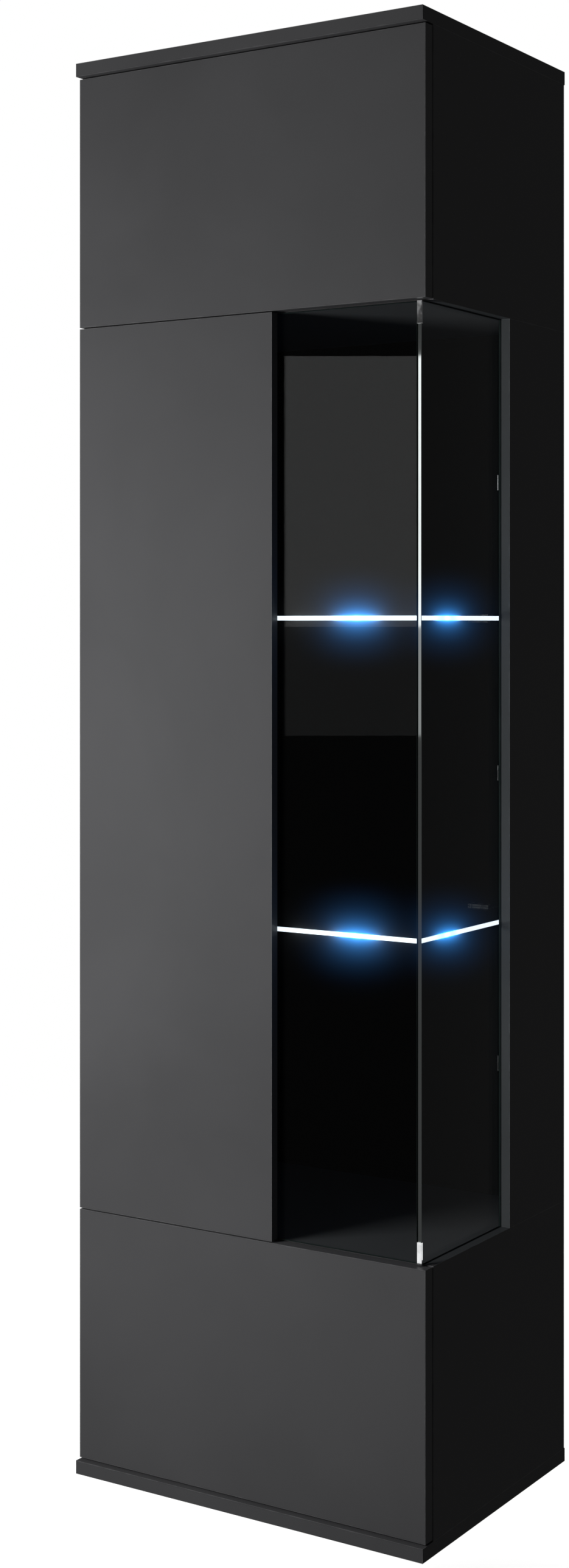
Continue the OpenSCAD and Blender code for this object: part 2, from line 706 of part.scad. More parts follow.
module latch_housings() color("#3a3a3d") hung() for (p = [upper_latch, display_latch, lower_latch])
    translate(p) difference() {
        translate([-latch_w / 2, 0, -latch_w / 2]) cube([latch_w, latch_l, latch_w]);
        translate([0, -cut, 0]) rotate([-90, 0, 0])
            cylinder(r = plunger_dia / 2 + plunger_clear, h = plunger_l + plunger_travel + 8 + cut);
    }

module plunger(p) color("whitesmoke") hung() translate([p[0], plunger_tip, p[2]])
    rotate([-90, 0, 0]) cylinder(d = plunger_dia, h = plunger_l);
module upper_plunger() plunger(upper_latch);
module display_plunger() plunger(display_latch);
module lower_plunger() plunger(lower_latch);

module strike_plate(p) color("silver") hung() translate([p[0], door_back, p[2]])
    rotate([-90, 0, 0]) cylinder(r = latch_w / 2, h = strike_t);
module upper_strike_plate() strike_plate(upper_latch);
module display_strike_plate() strike_plate(display_latch);
module lower_strike_plate() strike_plate(lower_latch);

bumper_r = 3.5;
bumper_in = 45;
bumper_zs = [upper_door_z[0] + bumper_in, upper_door_z[1] - bumper_in,
    lower_door_z[0] + bumper_in, lower_door_z[1] - bumper_in];
module door_bumpers() color("lightgray") hung() for (z = bumper_zs)
    translate([right_mid, carcass_front, z]) rotate([90, 0, 0])
        cylinder(r = bumper_r, h = door_gap - 0.2);

top_plate();
bottom_plate();
left_side_board();
upper_right_side_board();
rear_post();
lower_right_side_board();
upper_box_floor();
lower_box_top();
back_board();
cams();
cam_bolts();
dowels();
wall_rail();
hanger_housings();
hanger_hooks();
hanger_screws();
upper_door();
display_door_panel();
display_door_pane();
lower_door();
pane_retainers();
pane_retainer_screws();
side_pane();
side_pane_clips();
side_pane_clip_screws();
corner_caps();
lower_glass_shelf();
upper_glass_shelf();
shelf_pins();
light_clips();
light_lenses();
light_driver();
hinge_plates();
hinge_arms();
hinge_screws();
upper_hinge_cups();
display_hinge_cups();
lower_hinge_cups();
upper_inner_links();
display_inner_links();
lower_inner_links();
upper_outer_links();
display_outer_links();
lower_outer_links();
latch_housings();
upper_plunger();
display_plunger();
lower_plunger();
upper_strike_plate();
display_strike_plate();
lower_strike_plate();
door_bumpers();
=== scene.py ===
import math

import bmesh
import bpy
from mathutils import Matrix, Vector


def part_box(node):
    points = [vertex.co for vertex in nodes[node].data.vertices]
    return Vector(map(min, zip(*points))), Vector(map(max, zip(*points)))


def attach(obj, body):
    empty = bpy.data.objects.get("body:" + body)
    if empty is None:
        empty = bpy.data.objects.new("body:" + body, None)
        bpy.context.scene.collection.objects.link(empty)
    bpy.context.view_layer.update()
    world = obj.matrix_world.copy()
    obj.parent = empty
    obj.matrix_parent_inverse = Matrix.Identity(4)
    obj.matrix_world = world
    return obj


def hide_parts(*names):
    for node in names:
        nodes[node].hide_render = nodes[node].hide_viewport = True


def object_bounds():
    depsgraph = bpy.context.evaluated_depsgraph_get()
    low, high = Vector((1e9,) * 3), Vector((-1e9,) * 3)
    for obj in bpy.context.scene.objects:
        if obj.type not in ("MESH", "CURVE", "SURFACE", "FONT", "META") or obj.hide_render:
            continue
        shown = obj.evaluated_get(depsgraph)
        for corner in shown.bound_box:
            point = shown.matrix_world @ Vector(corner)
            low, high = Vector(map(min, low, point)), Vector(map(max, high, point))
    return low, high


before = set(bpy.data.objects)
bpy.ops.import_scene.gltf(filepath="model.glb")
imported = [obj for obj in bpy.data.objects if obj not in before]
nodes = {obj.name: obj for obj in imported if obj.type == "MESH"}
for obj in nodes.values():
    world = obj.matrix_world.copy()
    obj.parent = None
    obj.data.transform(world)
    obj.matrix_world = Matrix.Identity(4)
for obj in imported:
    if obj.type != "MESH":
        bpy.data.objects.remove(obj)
cad_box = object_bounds()
MM = 0.001


# ---- Carcass boards
# Chipboard, 15 mm, faced with a matt graphite foil and banded with the same foil on the edges that
# show. The saw-cut edges that face the wall stay raw. Cams and dowels hold the boards together.
def add(tree, kind, inputs=None, **settings):
    """A shader node with its settings, and its inputs set to values or linked to sockets."""
    node = tree.nodes.new(kind)
    for key, value in settings.items():
        setattr(node, key, value)
    for key, value in (inputs or {}).items():
        if isinstance(value, bpy.types.NodeSocket):
            tree.links.new(value, node.inputs[key])
        else:
            node.inputs[key].default_value = value
    return node


def math_node(tree, operation, *values):
    return add(tree, "ShaderNodeMath", dict(enumerate(values)), operation=operation).outputs[0]


def fade(tree, value, low, high, from_value=0.0, to_value=1.0):
    """Runs smoothly from one value to another as the input goes from low to high."""
    return add(
        tree, "ShaderNodeMapRange",
        {"Value": value, "From Min": low, "From Max": high, "To Min": from_value, "To Max": to_value},
        interpolation_type="SMOOTHSTEP",
    ).outputs[0]


def blend_colours(tree, share, first, second):
    node = add(tree, "ShaderNodeMix", data_type="RGBA")
    for place, value in ((0, share), (6, first), (7, second)):
        if isinstance(value, bpy.types.NodeSocket):
            tree.links.new(value, node.inputs[place])
        else:
            node.inputs[place].default_value = value
    return node.outputs[2]


def start_group(name, inputs, outputs):
    """An empty shader group with named inputs (name, kind, value) and outputs (name, kind)."""
    tree = bpy.data.node_groups.new(name, "ShaderNodeTree")
    for label, kind, value in inputs:
        socket = tree.interface.new_socket(label, in_out="INPUT", socket_type=kind)
        socket.default_value = value
    for label, kind in outputs:
        tree.interface.new_socket(label, in_out="OUTPUT", socket_type=kind)
    return tree, tree.nodes.new("NodeGroupInput"), tree.nodes.new("NodeGroupOutput")


def use_group(tree, group, **inputs):
    node = tree.nodes.new("ShaderNodeGroup")
    node.node_tree = group
    for key, value in inputs.items():
        socket = node.inputs[key.replace("_", " ")]
        if isinstance(value, bpy.types.NodeSocket):
            tree.links.new(value, socket)
        else:
            socket.default_value = value
    return node.outputs


def start_material(name):
    material = bpy.data.materials.new(name)
    material.use_nodes = True
    tree = material.node_tree
    tree.nodes.clear()
    output = tree.nodes.new("ShaderNodeOutputMaterial")
    surface = tree.nodes.new("ShaderNodeBsdfPrincipled")
    tree.links.new(surface.outputs[0], output.inputs[0])
    return material, tree, surface


def raise_surface(tree, surface, height, depth):
    """Turns a height from 0 to 1 into a bump of that depth in metres."""
    bump = add(tree, "ShaderNodeBump", {"Height": height, "Strength": 1.0, "Distance": depth})
    tree.links.new(bump.outputs[0], surface.inputs["Normal"])


def make_edge_rub():
    """How rubbed the surface is: 1 along a block's edges, broken up by noise, and 0 away from them."""
    tree, given, out = start_group(
        "edge_rub",
        [("Size", "NodeSocketVector", (100, 100, 100)), ("Reach", "NodeSocketFloat", 1.0),
         ("Amount", "NodeSocketFloat", 0.5)],
        [("Mask", "NodeSocketFloat"), ("Band", "NodeSocketFloat")],
    )
    place = add(tree, "ShaderNodeTexCoord")
    split = add(tree, "ShaderNodeSeparateXYZ", {0: place.outputs["Generated"]})
    sizes = add(tree, "ShaderNodeSeparateXYZ", {0: given.outputs["Size"]})
    gaps = []
    for side in range(3):
        far = math_node(tree, "SUBTRACT", 1.0, split.outputs[side])
        near = math_node(tree, "MINIMUM", split.outputs[side], far)
        gaps.append(math_node(tree, "MULTIPLY", near, sizes.outputs[side]))
    low = math_node(tree, "MINIMUM", gaps[0], gaps[1])
    high = math_node(tree, "MAXIMUM", gaps[0], gaps[1])
    from_edge = math_node(tree, "MAXIMUM", low, math_node(tree, "MINIMUM", high, gaps[2]))
    broken = add(tree, "ShaderNodeTexNoise",
                 {"Vector": place.outputs["Object"], "Scale": 55.0, "Detail": 5.0, "Roughness": 0.65})
    reach = math_node(tree, "MULTIPLY", given.outputs["Reach"],
                      fade(tree, broken.outputs[0], 0.35, 0.75, 0.3, 1.6))
    near_edge = math_node(tree, "SUBTRACT", 1.0, math_node(tree, "DIVIDE", from_edge, reach))
    mask = math_node(tree, "MULTIPLY", fade(tree, near_edge, 0.0, 1.0), given.outputs["Amount"])
    tree.links.new(mask, out.inputs["Mask"])
    line = math_node(tree, "ABSOLUTE", math_node(tree, "SUBTRACT", from_edge, 1.0))
    tree.links.new(fade(tree, line, 0.05, 0.25, 1.0, 0.0), out.inputs["Band"])
    return tree


def make_foil_skin():
    """The fine pebble of a matt foil, with the slow clouding that handling gives it."""
    tree, given, out = start_group(
        "foil_skin", [("Pebble", "NodeSocketFloat", 1500.0)],
        [("Grain", "NodeSocketFloat"), ("Cloud", "NodeSocketFloat"), ("Height", "NodeSocketFloat")],
    )
    place = add(tree, "ShaderNodeTexCoord").outputs["Object"]
    grain = add(tree, "ShaderNodeTexNoise",
                {"Vector": place, "Scale": given.outputs["Pebble"], "Detail": 3.0, "Roughness": 0.6})
    cells = add(tree, "ShaderNodeTexVoronoi", {"Vector": place, "Scale": given.outputs["Pebble"]})
    cloud = add(tree, "ShaderNodeTexNoise",
                {"Vector": place, "Scale": 3.2, "Detail": 4.0, "Roughness": 0.55, "Distortion": 0.4})
    height = math_node(tree, "ADD", math_node(tree, "MULTIPLY", grain.outputs[0], 0.6),
                       math_node(tree, "MULTIPLY", cells.outputs["Distance"], 0.4))
    tree.links.new(grain.outputs[0], out.inputs["Grain"])
    tree.links.new(cloud.outputs[0], out.inputs["Cloud"])
    tree.links.new(height, out.inputs["Height"])
    return tree


def make_chip_core():
    """The pressed flakes of a raw chipboard edge."""
    tree, given, out = start_group(
        "chip_core", [("Flake", "NodeSocketFloat", 420.0)],
        [("Color", "NodeSocketColor"), ("Height", "NodeSocketFloat")],
    )
    place = add(tree, "ShaderNodeTexCoord").outputs["Object"]
    flakes = add(tree, "ShaderNodeTexVoronoi", {"Vector": place, "Scale": given.outputs["Flake"]})
    dust = add(tree, "ShaderNodeTexNoise",
               {"Vector": place, "Scale": 900.0, "Detail": 4.0, "Roughness": 0.7})
    tone = add(tree, "ShaderNodeSeparateColor", {0: flakes.outputs["Color"]}).outputs[0]
    wood = blend_colours(tree, tone, (0.22, 0.135, 0.07, 1), (0.5, 0.36, 0.22, 1))
    dusty = blend_colours(tree, fade(tree, dust.outputs[0], 0.4, 0.7, 0.0, 0.5), wood, (0.16, 0.1, 0.05, 1))
    tree.links.new(dusty, out.inputs["Color"])
    tree.links.new(flakes.outputs["Distance"], out.inputs["Height"])
    return tree


edge_rub = make_edge_rub()
foil_skin = make_foil_skin()
chip_core = make_chip_core()
GRAPHITE = (0.078, 0.078, 0.081, 1)
RUBBED = (0.15, 0.15, 0.155, 1)


def node_size(name):
    low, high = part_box(name)
    return [(high[side] - low[side]) / MM for side in range(3)]


def paint(name, *materials):
    """Gives a node from the frame its finish."""
    slots = nodes[name].data.materials
    slots.clear()
    for material in materials:
        slots.append(material)


def ease_edges(name, width, segments=2):
    """Breaks a node's sharp edges by a chamfer of that width in millimetres."""
    piece = nodes[name]
    weld = piece.modifiers.new("closed corners", "WELD")
    weld.merge_threshold = 0.002 * MM
    bevel = piece.modifiers.new("eased edges", "BEVEL")
    bevel.width = width * MM
    bevel.segments = segments
    bevel.limit_method = "ANGLE"
    bevel.angle_limit = math.radians(40)
    shade = piece.modifiers.new("even shading", "WEIGHTED_NORMAL")
    shade.weight = 60
    shade.keep_sharp = True


def foil_material(name, colour, roughness, raw_back):
    """Graphite foil on one board, rubbed lighter along that board's own edges."""
    material, tree, surface = start_material("foil_" + name)
    skin = use_group(tree, foil_skin, Pebble=1500.0)
    rub = use_group(tree, edge_rub, Size=node_size(name), Reach=1.3, Amount=0.55)
    darker = [0.86 * part for part in colour[:3]] + [1]
    base = blend_colours(tree, fade(tree, skin["Cloud"], 0.3, 0.7), darker, colour)
    banded = blend_colours(tree, math_node(tree, "MULTIPLY", rub["Band"], 0.35), base, (0.02, 0.02, 0.02, 1))
    worn = blend_colours(tree, rub["Mask"], banded, RUBBED)
    rough = math_node(tree, "ADD", fade(tree, skin["Cloud"], 0.25, 0.75, roughness - 0.05, roughness + 0.06),
                      math_node(tree, "MULTIPLY", skin["Grain"], 0.08))
    height = skin["Height"]
    if raw_back:
        facing = add(tree, "ShaderNodeSeparateXYZ",
                     {0: add(tree, "ShaderNodeNewGeometry").outputs["Normal"]}).outputs[1]
        place = add(tree, "ShaderNodeSeparateXYZ",
                    {0: add(tree, "ShaderNodeTexCoord").outputs["Generated"]}).outputs[1]
        raw = math_node(tree, "MULTIPLY", fade(tree, facing, 0.8, 0.95), fade(tree, place, 0.98, 0.995))
        core = use_group(tree, chip_core, Flake=420.0)
        worn = blend_colours(tree, raw, worn, core["Color"])
        rough = math_node(tree, "ADD", rough, math_node(tree, "MULTIPLY", raw, 0.3))
        height = math_node(tree, "ADD", height, math_node(tree, "MULTIPLY", raw, core["Height"]))
    tree.links.new(worn, surface.inputs["Base Color"])
    tree.links.new(rough, surface.inputs["Roughness"])
    raise_surface(tree, surface, height, 0.03 * MM)
    return material


CARCASS = ("top_plate", "bottom_plate", "left_side_board", "upper_right_side_board", "rear_post",
           "lower_right_side_board", "upper_box_floor", "lower_box_top")
for board in CARCASS:
    paint(board, foil_material(board, GRAPHITE, 0.5, raw_back=True))
    ease_edges(board, 0.5)


# ---- Doors
# Three slabs of the same board, lacquered a matt graphite and banded all round. They have no handles:
# they are pushed to open. The middle one stops where its pane begins.
LACQUER = (0.082, 0.082, 0.085, 1)
DOORS = ("upper_door", "display_door_panel", "lower_door")
for door in DOORS:
    paint(door, foil_material(door, LACQUER, 0.46, raw_back=False))
    ease_edges(door, 0.6)


# ---- Back board
# Hardboard, 3 mm, slid into grooves in the boards. Its face is printed black, made far darker than any print
# as painted shade for the cabinet's dark inside. Its rear is the bare brown board with a fine felted surface.
def back_board_material():
    material, tree, surface = start_material("back_board_print_and_painted_shade")
    skin = use_group(tree, foil_skin, Pebble=900.0)
    place = add(tree, "ShaderNodeTexCoord").outputs["Object"]
    felt = add(tree, "ShaderNodeTexNoise", {"Vector": place, "Scale": 260.0, "Detail": 6.0, "Roughness": 0.7})
    facing = add(tree, "ShaderNodeSeparateXYZ",
                 {0: add(tree, "ShaderNodeNewGeometry").outputs["Normal"]}).outputs[1]
    bare = fade(tree, facing, 0.3, 0.7)
    brown = blend_colours(tree, fade(tree, felt.outputs[0], 0.35, 0.7),
                          (0.13, 0.075, 0.04, 1), (0.27, 0.17, 0.1, 1))
    # The printed black is set nearly lightless, darker than real print: painted shade for the inside of the
    # cabinet.
    black = blend_colours(tree, skin["Cloud"], (0.0035, 0.0035, 0.0038, 1), (0.006, 0.006, 0.0065, 1))
    tree.links.new(blend_colours(tree, bare, black, brown), surface.inputs["Base Color"])
    tree.links.new(fade(tree, bare, 0.0, 1.0, 0.6, 0.85), surface.inputs["Roughness"])
    surface.inputs["Specular IOR Level"].default_value = 0.12
    raise_surface(tree, surface, math_node(tree, "ADD", skin["Height"], felt.outputs[0]), 0.03 * MM)
    return material


paint("back_board", back_board_material())
ease_edges("back_board", 0.2)


# ---- Panes
# Clear float glass, 4 mm, with seamed and polished edges. The door's pane is bonded into a rebate
# behind the solid panel; the fixed side pane stands on the display's floor and is held by clips.
def make_smudge():
    """Faint wiping marks and dust on glass, from 0 to 1."""
    tree, given, out = start_group(
        "smudge", [("Spread", "NodeSocketFloat", 7.0)], [("Mark", "NodeSocketFloat")])
    place = add(tree, "ShaderNodeTexCoord").outputs["Object"]
    wiped = add(tree, "ShaderNodeMapping",
                {"Vector": place, "Rotation": (0.3, 0.5, 0.2), "Scale": (1, 1, 0.35)})
    marks = add(tree, "ShaderNodeTexNoise",
                {"Vector": wiped.outputs[0], "Scale": given.outputs["Spread"],
                 "Detail": 7.0, "Roughness": 0.6})
    specks = add(tree, "ShaderNodeTexNoise", {"Vector": place, "Scale": 650.0, "Detail": 2.0})
    both = math_node(tree, "ADD", fade(tree, marks.outputs[0], 0.45, 0.8, 0.0, 0.8),
                     fade(tree, specks.outputs[0], 0.72, 0.8, 0.0, 0.4))
    tree.links.new(both, out.inputs["Mark"])
    return tree


smudge = make_smudge()


def glass_material(name, tint, bend):
    """Clear glass that lets the lamps' light through, with wiping marks in its gloss."""
    material, tree, surface = start_material(name)
    mark = use_group(tree, smudge, Spread=7.0)["Mark"]
    tree.links.new(blend_colours(tree, mark, tint, [0.97 * part for part in tint[:3]] + [1]),
                   surface.inputs["Base Color"])
    tree.links.new(fade(tree, mark, 0.0, 1.0, 0.0, 0.035), surface.inputs["Roughness"])
    surface.inputs["Transmission Weight"].default_value = 1.0
    surface.inputs["IOR"].default_value = bend
    clear = add(tree, "ShaderNodeBsdfTransparent", {"Color": (0.93, 0.95, 0.95, 1)})
    path = add(tree, "ShaderNodeLightPath")
    through = add(tree, "ShaderNodeMixShader",
                  {0: path.outputs["Is Shadow Ray"], 1: surface.outputs[0], 2: clear.outputs[0]})
    output = next(node for node in tree.nodes if node.type == "OUTPUT_MATERIAL")
    tree.links.new(through.outputs[0], output.inputs[0])
    return material


def polished_edge_material():
    """A polished glass edge, which throws light back like a mirror with a grey-green cast."""
    material, tree, surface = start_material("polished_glass_edge")
    mark = use_group(tree, smudge, Spread=30.0)["Mark"]
    tree.links.new(blend_colours(tree, mark, (0.78, 0.83, 0.82, 1), (0.62, 0.68, 0.67, 1)),
                   surface.inputs["Base Color"])
    tree.links.new(fade(tree, mark, 0.0, 1.0, 0.03, 0.08), surface.inputs["Roughness"])
    surface.inputs["Metallic"].default_value = 1.0
    raise_surface(tree, surface, mark, 0.01 * MM)
    return material


def hidden_edge_material():
    """A ground edge that a board or seal covers: dull and nearly black."""
    material, tree, surface = start_material("covered_glass_edge")
    mark = use_group(tree, smudge, Spread=40.0)["Mark"]
    tree.links.new(blend_colours(tree, mark, (0.012, 0.018, 0.017, 1), (0.03, 0.04, 0.038, 1)),
                   surface.inputs["Base Color"])
    tree.links.new(fade(tree, mark, 0.0, 1.0, 0.5, 0.7), surface.inputs["Roughness"])
    surface.inputs["Specular IOR Level"].default_value = 0.2
    return material


def cut_glass(name, node, body, materials, thin_axis, bright_side, chamfer=0.4):
    """A chamfered sheet of glass in a node's place. Its materials are for the faces, for the edges on
    the bright side, and for the edges that other pieces cover."""
    low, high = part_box(node)
    mesh = bpy.data.meshes.new(name)
    work = bmesh.new()
    bmesh.ops.create_cube(work, size=1.0)
    middle, size = (low + high) / 2, high - low
    for corner in work.verts:
        corner.co = Vector([middle[side] + corner.co[side] * size[side] for side in range(3)])
    bmesh.ops.bevel(work, geom=list(work.edges), offset=chamfer * MM, segments=2, affect="EDGES", profile=0.5)
    work.normal_update()
    for face in work.faces:
        if abs(face.normal[thin_axis]) > 0.99:
            face.material_index = 0
        else:
            face.material_index = 1 if face.normal.dot(Vector(bright_side)) > 0.3 else 2
    work.to_mesh(mesh)
    work.free()
    for material in materials:
        mesh.materials.append(material)
    piece = bpy.data.objects.new(name, mesh)
    bpy.context.scene.collection.objects.link(piece)
    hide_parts(node)
    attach(piece, body)
    return piece


PANE_TINT = (0.93, 0.955, 0.955, 1)
pane_glass = glass_material("pane_glass", PANE_TINT, 1.245)
glass_edge = polished_edge_material()
covered_edge = hidden_edge_material()
PANE_FINISHES = (pane_glass, glass_edge, covered_edge)
FRONT = (0, -1, 0)
NO_SIDE = (0, 0, 0)
cut_glass("door_pane", "display_door_pane", "display_door", PANE_FINISHES, 1, NO_SIDE)
cut_glass("fixed_side_pane", "side_pane", "carcass", PANE_FINISHES, 0, FRONT)


# ---- Shelves
# Clear glass, 5 mm, each lit through its edge by two light clips. The light runs inside the glass and
# comes out at the front and right edges, brightest and bluest straight across from the clips.
def lit_edge_material(name, front_spot, side_spot):
    """A ground edge that glows, with a blue-white spot across from each light."""
    material, tree, surface = start_material(name)
    place = add(tree, "ShaderNodeSeparateXYZ", {0: add(tree, "ShaderNodeTexCoord").outputs["Object"]})
    spots = []
    for axis, middle, across, edge in ((0, front_spot, 1, FRONT_EDGE), (1, side_spot, 0, RIGHT_EDGE)):
        along = math_node(tree, "ABSOLUTE", math_node(tree, "SUBTRACT", place.outputs[axis], middle))
        away = math_node(tree, "ABSOLUTE", math_node(tree, "SUBTRACT", place.outputs[across], edge))
        near = fade(tree, away, 1.0 * MM, 2.0 * MM, 1.0, 0.0)
        spots.append(math_node(tree, "MULTIPLY", near, fade(tree, along, SPOT_CORE, SPOT_REACH, 1.0, 0.0)))
    spot = math_node(tree, "MAXIMUM", *spots)
    ground = add(tree, "ShaderNodeTexNoise",
                 {"Vector": add(tree, "ShaderNodeTexCoord").outputs["Object"], "Scale": 700.0, "Detail": 3.0})
    facing = add(tree, "ShaderNodeSeparateXYZ", {0: add(tree, "ShaderNodeNewGeometry").outputs["Normal"]})
    shown = math_node(tree, "MAXIMUM", fade(tree, facing.outputs[1], -0.6, -0.3, 1.0, 0.0),
                      fade(tree, facing.outputs[0], 0.3, 0.6))
    plain = blend_colours(tree, ground.outputs[0], (0.09, 0.1, 0.11, 1), (0.13, 0.14, 0.15, 1))
    glow = blend_colours(tree, spot, plain, (0.06, 0.6, 1.8, 1))
    tree.links.new(blend_colours(tree, shown, (0.01, 0.02, 0.035, 1), glow), surface.inputs["Emission Color"])
    surface.inputs["Emission Strength"].default_value = 10.0
    surface.inputs["Base Color"].default_value = (0.7, 0.76, 0.76, 1)
    tree.links.new(fade(tree, ground.outputs[0], 0.3, 0.7, 0.35, 0.55), surface.inputs["Roughness"])
    raise_surface(tree, surface, ground.outputs[0], 0.02 * MM)
    return material


def solid_middles(name, count):
    """Middles of a node's separate solids, from the lowest up and from left to right."""
    mesh = nodes[name].data
    parent = list(range(len(mesh.vertices)))

    def root(item):
        while parent[item] != item:
            parent[item] = parent[parent[item]]
            item = parent[item]
        return item

    seen = {}
    for vertex in mesh.vertices:
        key = tuple(round(part, 6) for part in vertex.co)
        parent[vertex.index] = root(seen.setdefault(key, vertex.index))
    for edge in mesh.edges:
        parent[root(edge.vertices[0])] = root(edge.vertices[1])
    clusters = {}
    for vertex in mesh.vertices:
        clusters.setdefault(root(vertex.index), []).append(vertex.co)
    middles = []
    for points in clusters.values():
        middles.append(Vector([
            (min(point[side] for point in points) + max(point[side] for point in points)) / 2
            for side in range(3)
        ]))
    assert len(middles) == count, f"{name} has {len(middles)} solids"
    return sorted(middles, key=lambda middle: (round(middle.z, 3), middle.x))


lamps = solid_middles("light_lenses", 4)
FRONT_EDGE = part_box("lower_glass_shelf")[0].y
RIGHT_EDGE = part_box("lower_glass_shelf")[1].x
SPOT_CORE = 8 * MM
SPOT_REACH = 34 * MM
shelf_glass = glass_material("shelf_glass", (0.93, 0.965, 0.97, 1), 1.4)
for place, shelf in enumerate(("lower_glass_shelf", "upper_glass_shelf")):
    left_lamp, rear_lamp = lamps[2 * place], lamps[2 * place + 1]
    lit_edge = lit_edge_material("lit_edge_" + shelf, rear_lamp.x, left_lamp.y)
    cut_glass(shelf.replace("glass_shelf", "shelf"), shelf, "carcass",
              (shelf_glass, lit_edge, covered_edge), 2, (1, -1, 0))


# ---- Shelf lights
# Small pressed metal clips that grip the shelf's edge, each with a blue-white lamp behind a clear
# lens. Their supply is a black plastic box on the back board, in the upper compartment.
def plated_material(name, colour, roughness, streak=(1, 1, 1), depth=0.01):
    """Plated or brushed metal with fine drawing lines, handling marks and rubbed spots."""
    material, tree, surface = start_material(name)
    place = add(tree, "ShaderNodeTexCoord").outputs["Object"]
    drawn = add(tree, "ShaderNodeMapping", {"Vector": place, "Scale": streak})
    lines = add(tree, "ShaderNodeTexNoise",
                {"Vector": drawn.outputs[0], "Scale": 900.0, "Detail": 4.0, "Roughness": 0.6})
    marks = add(tree, "ShaderNodeTexNoise", {"Vector": place, "Scale": 90.0, "Detail": 5.0})
    dull = [0.72 * part for part in colour[:3]] + [1]
    tree.links.new(blend_colours(tree, fade(tree, marks.outputs[0], 0.35, 0.7), dull, colour),
                   surface.inputs["Base Color"])
    surface.inputs["Metallic"].default_value = 1.0
    rough = math_node(tree, "ADD", fade(tree, marks.outputs[0], 0.3, 0.7, roughness - 0.06, roughness + 0.08),
                      math_node(tree, "MULTIPLY", lines.outputs[0], 0.08))
    tree.links.new(rough, surface.inputs["Roughness"])
    raise_surface(tree, surface, lines.outputs[0], depth * MM)
    return material


def moulded_material(name, colour, roughness):
    """Moulded plastic with a spark-eroded texture."""
    material, tree, surface = start_material(name)
    skin = use_group(tree, foil_skin, Pebble=2400.0)
    darker = [0.85 * part for part in colour[:3]] + [1]
    tree.links.new(blend_colours(tree, skin["Cloud"], darker, colour), surface.inputs["Base Color"])
    tree.links.new(fade(tree, skin["Grain"], 0.3, 0.7, roughness - 0.05, roughness + 0.08),
                   surface.inputs["Roughness"])
    raise_surface(tree, surface, skin["Height"], 0.02 * MM)
    return material


def lens_material():
    material, tree, surface = start_material("lamp_lens")
    skin = use_group(tree, foil_skin, Pebble=1800.0)
    tree.links.new(blend_colours(tree, skin["Grain"], (0.25, 0.55, 1.0, 1), (0.5, 0.8, 1.0, 1)),
                   surface.inputs["Emission Color"])
    surface.inputs["Emission Strength"].default_value = 7.0
    surface.inputs["Base Color"].default_value = (0.7, 0.8, 0.9, 1)
    tree.links.new(fade(tree, skin["Grain"], 0.3, 0.7, 0.2, 0.35), surface.inputs["Roughness"])
    return material


BRIGHT_STEEL = (0.78, 0.79, 0.8, 1)
bright_steel = plated_material("bright_steel", BRIGHT_STEEL, 0.2, streak=(1, 1, 0.06))
dark_plastic = moulded_material("dark_plastic", (0.035, 0.035, 0.037, 1), 0.5)
paint("light_clips", bright_steel)
paint("light_lenses", lens_material())
paint("light_driver", dark_plastic)
ease_edges("light_clips", 0.25)
ease_edges("light_driver", 0.8, segments=3)


# ---- Glass clips, caps, shelf pins and retainers
# Bright plated steel: three clips screwed to the post lap the side pane's rear edge, two thin caps
# fold round its front edge, and pins carry the shelves. Small discs back up the door pane's bond.
paint("side_pane_clips", bright_steel)
mirror_steel = plated_material("mirror_steel", BRIGHT_STEEL, 0.07, streak=(1, 1, 0.06), depth=0.002)
paint("corner_caps", mirror_steel)
paint("shelf_pins", bright_steel)
white_plastic = moulded_material("white_plastic", (0.72, 0.72, 0.7, 1), 0.4)
zinc = plated_material("zinc", (0.62, 0.63, 0.65, 1), 0.34)
paint("pane_retainers", moulded_material("clear_plastic_disc", (0.62, 0.65, 0.66, 1), 0.25))
for screws in ("side_pane_clip_screws", "pane_retainer_screws"):
    paint(screws, zinc)
for node, width in (("side_pane_clips", 0.25), ("corner_caps", 0.2), ("shelf_pins", 0.4),
                    ("pane_retainers", 0.3)):
    ease_edges(node, width)


# ---- Joint fittings
# Cast zinc cams turned onto steel bolts pull the boards together, and fluted beech dowels keep them
# from slipping. They are hidden once the cabinet is closed.
def beech_material():
    material, tree, surface = start_material("beech")
    place = add(tree, "ShaderNodeTexCoord").outputs["Object"]
    grain = add(tree, "ShaderNodeMapping", {"Vector": place, "Scale": (1, 1, 0.12)})
    fibre = add(tree, "ShaderNodeTexNoise",
                {"Vector": grain.outputs[0], "Scale": 800.0, "Detail": 5.0, "Roughness": 0.65})
    tree.links.new(blend_colours(tree, fibre.outputs[0], (0.42, 0.25, 0.13, 1), (0.68, 0.47, 0.29, 1)),
                   surface.inputs["Base Color"])
    tree.links.new(fade(tree, fibre.outputs[0], 0.3, 0.7, 0.55, 0.75), surface.inputs["Roughness"])
    raise_surface(tree, surface, fibre.outputs[0], 0.05 * MM)
    return material


paint("cams", plated_material("cast_zinc", (0.5, 0.51, 0.53, 1), 0.42, depth=0.03))
paint("cam_bolts", zinc)
paint("dowels", beech_material())


# ---- Wall fixing
# A pressed and galvanised rail is screwed to the wall. Two hooks on adjustable housings in the rear
# corners of the upper box hang on it.
def galvanised_material():
    material, tree, surface = start_material("galvanised_steel")
    place = add(tree, "ShaderNodeTexCoord").outputs["Object"]
    spangle = add(tree, "ShaderNodeTexVoronoi", {"Vector": place, "Scale": 160.0})
    tone = add(tree, "ShaderNodeSeparateColor", {0: spangle.outputs["Color"]}).outputs[0]
    tree.links.new(blend_colours(tree, tone, (0.46, 0.48, 0.5, 1), (0.66, 0.68, 0.7, 1)),
                   surface.inputs["Base Color"])
    surface.inputs["Metallic"].default_value = 1.0
    tree.links.new(fade(tree, tone, 0.0, 1.0, 0.3, 0.5), surface.inputs["Roughness"])
    raise_surface(tree, surface, tone, 0.01 * MM)
    return material


